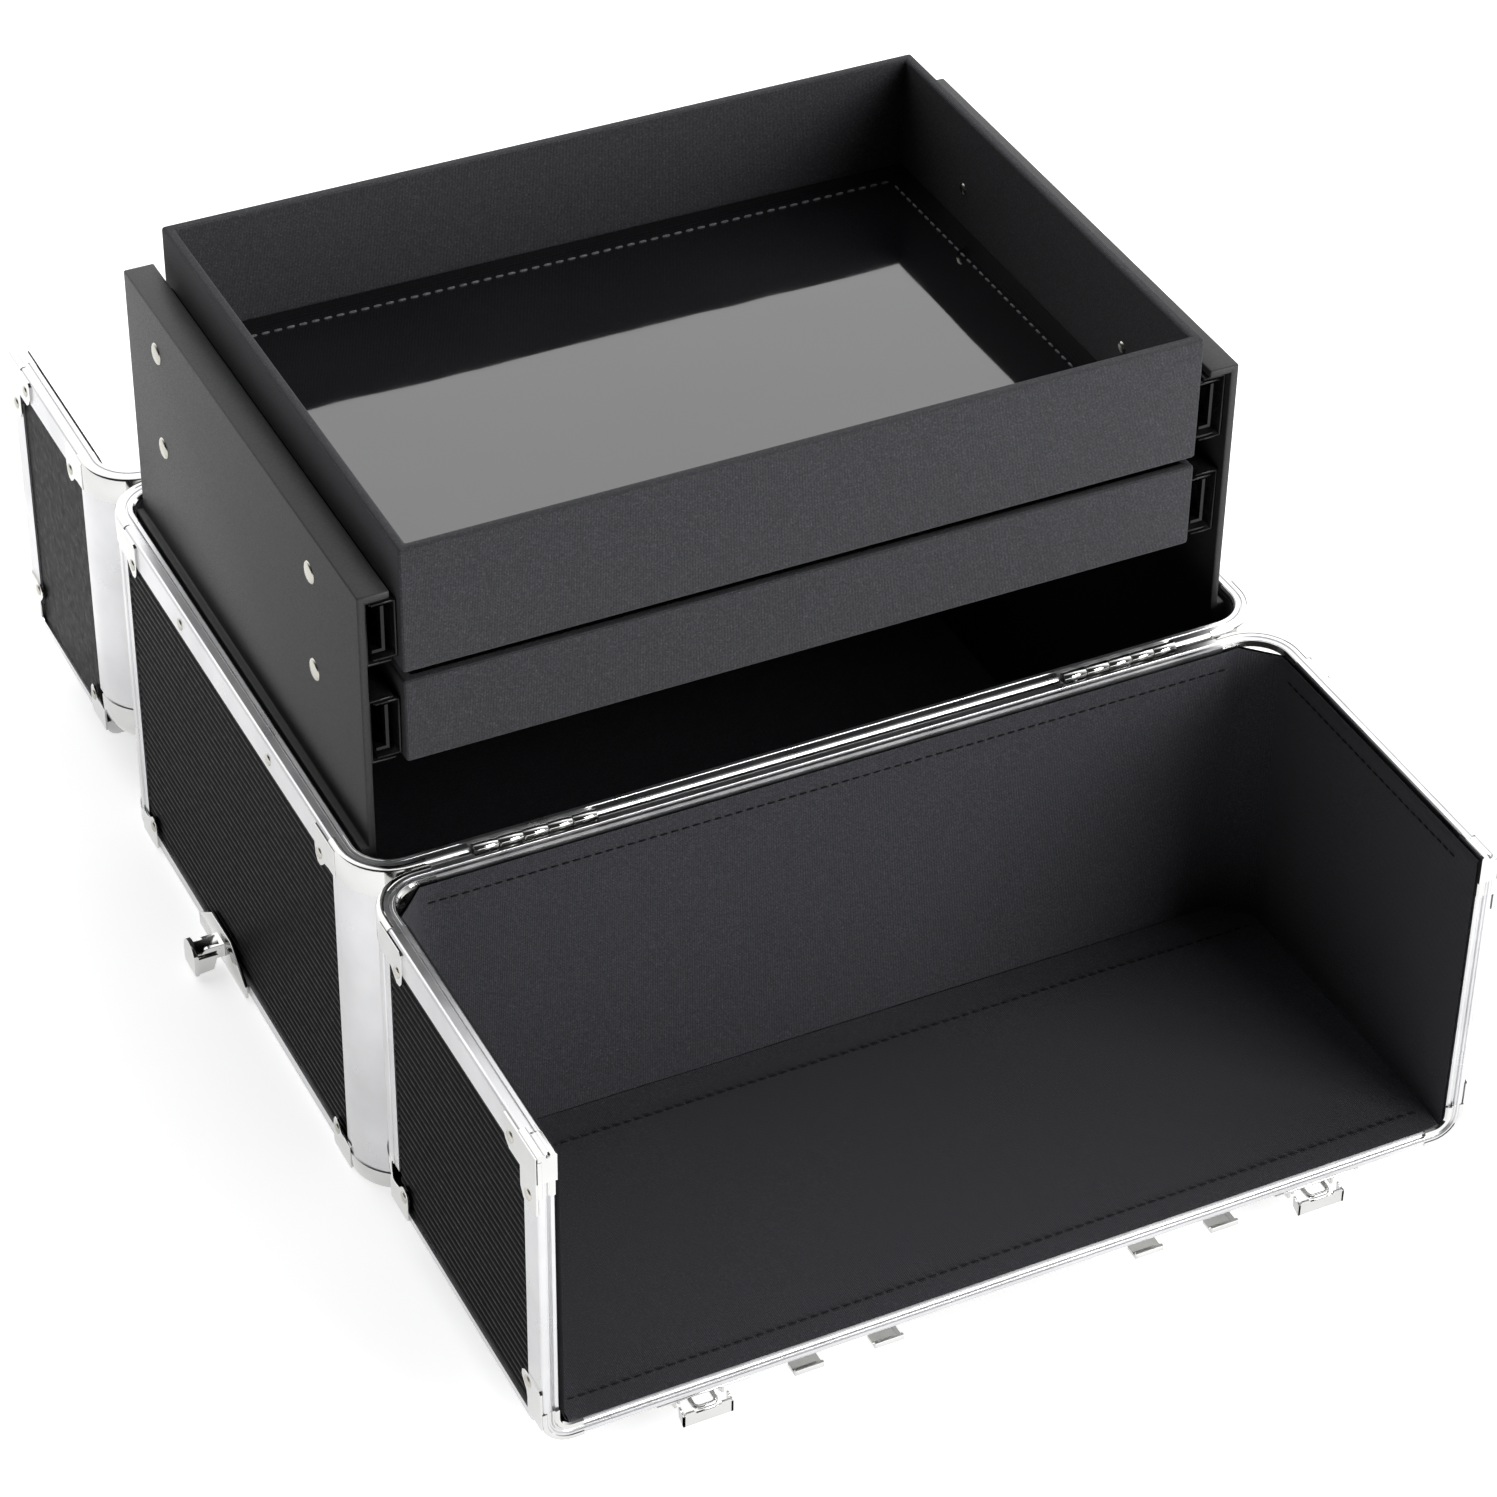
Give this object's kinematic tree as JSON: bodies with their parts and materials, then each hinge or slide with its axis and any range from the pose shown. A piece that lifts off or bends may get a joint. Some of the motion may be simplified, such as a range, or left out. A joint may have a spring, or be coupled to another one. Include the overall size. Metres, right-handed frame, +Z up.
{
  "type": "makeup train case",
  "caption": "Aluminium-framed train case whose two lids hinge open flat beside a ribbed black body with a rack of sliding trays.",
  "frame": {"origin": "middle of the body's underside, on the surface it stands on", "axes": "+X across the width, -Y towards the larger front lid, +Z up"},
  "size_m": [0.3944, 0.5247, 0.269],
  "materials": {
    "aluminium": "satin extruded aluminium",
    "chrome": "polished chrome plate",
    "panel": "gloss black sheet with fine ribs",
    "lining": "charcoal woven lining",
    "board": "grained black vinyl over board",
    "tray": "charcoal woven cloth over board",
    "clear": "clear glossy vinyl sheet over black",
    "slide": "gloss black steel channel",
    "grip": "moulded black grip"
  },
  "bodies": {
    "root": {"body_front_panel": "panel", "body_back_panel": "panel", "body_left_panel": "panel", "body_right_panel": "panel", "body_floor": "lining", "body_rim": "aluminium", "body_base_frame": "aluminium", "body_post_rear_right": "aluminium", "body_post_rear_left": "aluminium", "body_post_front_left": "aluminium", "body_post_front_right": "aluminium", "rack_board_left": "board", "rack_board_right": "board", "slide_outer_upper_left": "slide", "slide_outer_upper_right": "slide", "slide_outer_lower_left": "slide", "slide_outer_lower_right": "slide", "hinge_front_left_body_leaf": "chrome", "hinge_front_right_body_leaf": "chrome", "hinge_rear_left_body_leaf": "chrome", "hinge_rear_right_body_leaf": "chrome", "side_catch_plate_left": "chrome", "side_catch_plate_right": "chrome"},
    "upper_tray": {"upper_tray": "tray", "tray_liner_sheet": "clear", "slide_inner_upper_left": "slide", "slide_inner_upper_right": "slide"},
    "lower_tray": {"lower_tray": "tray", "slide_inner_lower_left": "slide", "slide_inner_lower_right": "slide"},
    "front_lid": {"front_lid_frame": "aluminium", "front_lid_split_frame": "aluminium", "front_lid_wall_panel": "panel", "front_lid_left_panel": "panel", "front_lid_right_panel": "panel", "front_lid_top_panel": "panel", "hinge_front_left_lid_leaf": "chrome", "hinge_front_right_lid_leaf": "chrome", "latch_plate_left": "chrome", "latch_plate_right": "chrome", "handle_bracket_left": "chrome", "handle_bracket_right": "chrome"},
    "rear_lid": {"rear_lid_frame": "aluminium", "rear_lid_split_frame": "aluminium", "rear_lid_wall_panel": "panel", "rear_lid_left_panel": "panel", "rear_lid_right_panel": "panel", "rear_lid_top_panel": "panel", "hinge_rear_left_lid_leaf": "chrome", "hinge_rear_right_lid_leaf": "chrome", "latch_keeper_left": "chrome", "latch_keeper_right": "chrome"},
    "latch_lever_left": {"latch_lever_left": "chrome"},
    "latch_lever_right": {"latch_lever_right": "chrome"},
    "latch_loop_left": {"latch_loop_left": "chrome"},
    "latch_loop_right": {"latch_loop_right": "chrome"},
    "handle": {"handle": "grip"},
    "side_catch_lever_left": {"side_catch_lever_left": "chrome"},
    "side_catch_lever_right": {"side_catch_lever_right": "chrome"}
  },
  "joints": [
    {"name": "front_lid_hinge", "type": "hinge", "parent": "root", "child": "front_lid", "pos_m": [0, -0.1308, 0.1512], "axis": [-1, 0, 0], "range_deg": [0, 180]},
    {"name": "rear_lid_hinge", "type": "hinge", "parent": "root", "child": "rear_lid", "pos_m": [0, 0.1308, 0.1512], "axis": [1, 0, 0], "range_deg": [0, 180]},
    {"name": "upper_tray_slide", "type": "slide", "parent": "root", "child": "upper_tray", "axis": [0, 1, 0], "range_m": [-0.15, 0]},
    {"name": "lower_tray_slide", "type": "slide", "parent": "root", "child": "lower_tray", "axis": [0, 1, 0], "range_m": [-0.15, 0]},
    {"name": "latch_lever_left_hinge", "type": "hinge", "parent": "front_lid", "child": "latch_lever_left", "pos_m": [-0.1225, -0.2769, 0.0135], "axis": [-1, 0, 0], "range_deg": [0, 115]},
    {"name": "latch_loop_left_hinge", "type": "hinge", "parent": "latch_lever_left", "child": "latch_loop_left", "pos_m": [-0.1225, -0.2719, 0.0135], "axis": [1, 0, 0], "range_deg": [0, 115]},
    {"name": "latch_lever_right_hinge", "type": "hinge", "parent": "front_lid", "child": "latch_lever_right", "pos_m": [0.1225, -0.2769, 0.0135], "axis": [-1, 0, 0], "range_deg": [0, 115]},
    {"name": "latch_loop_right_hinge", "type": "hinge", "parent": "latch_lever_right", "child": "latch_loop_right", "pos_m": [0.1225, -0.2719, 0.0135], "axis": [1, 0, 0], "range_deg": [0, 115]},
    {"name": "handle_hinge", "type": "hinge", "parent": "front_lid", "child": "handle", "pos_m": [0, -0.2616, 0.0097], "axis": [-1, 0, 0], "range_deg": [0, 90]},
    {"name": "side_catch_left_hinge", "type": "hinge", "parent": "root", "child": "side_catch_lever_left", "pos_m": [-0.1906, 0.02, 0.0088], "axis": [0, 1, 0], "range_deg": [0, 75]},
    {"name": "side_catch_right_hinge", "type": "hinge", "parent": "root", "child": "side_catch_lever_right", "pos_m": [0.1906, 0.02, 0.0088], "axis": [0, -1, 0], "range_deg": [0, 75]}
  ],
  "couplings": [
    {"joint": "latch_loop_left_hinge", "follows": "latch_lever_left_hinge", "ratio": 1},
    {"joint": "latch_loop_right_hinge", "follows": "latch_lever_right_hinge", "ratio": 1}
  ]
}
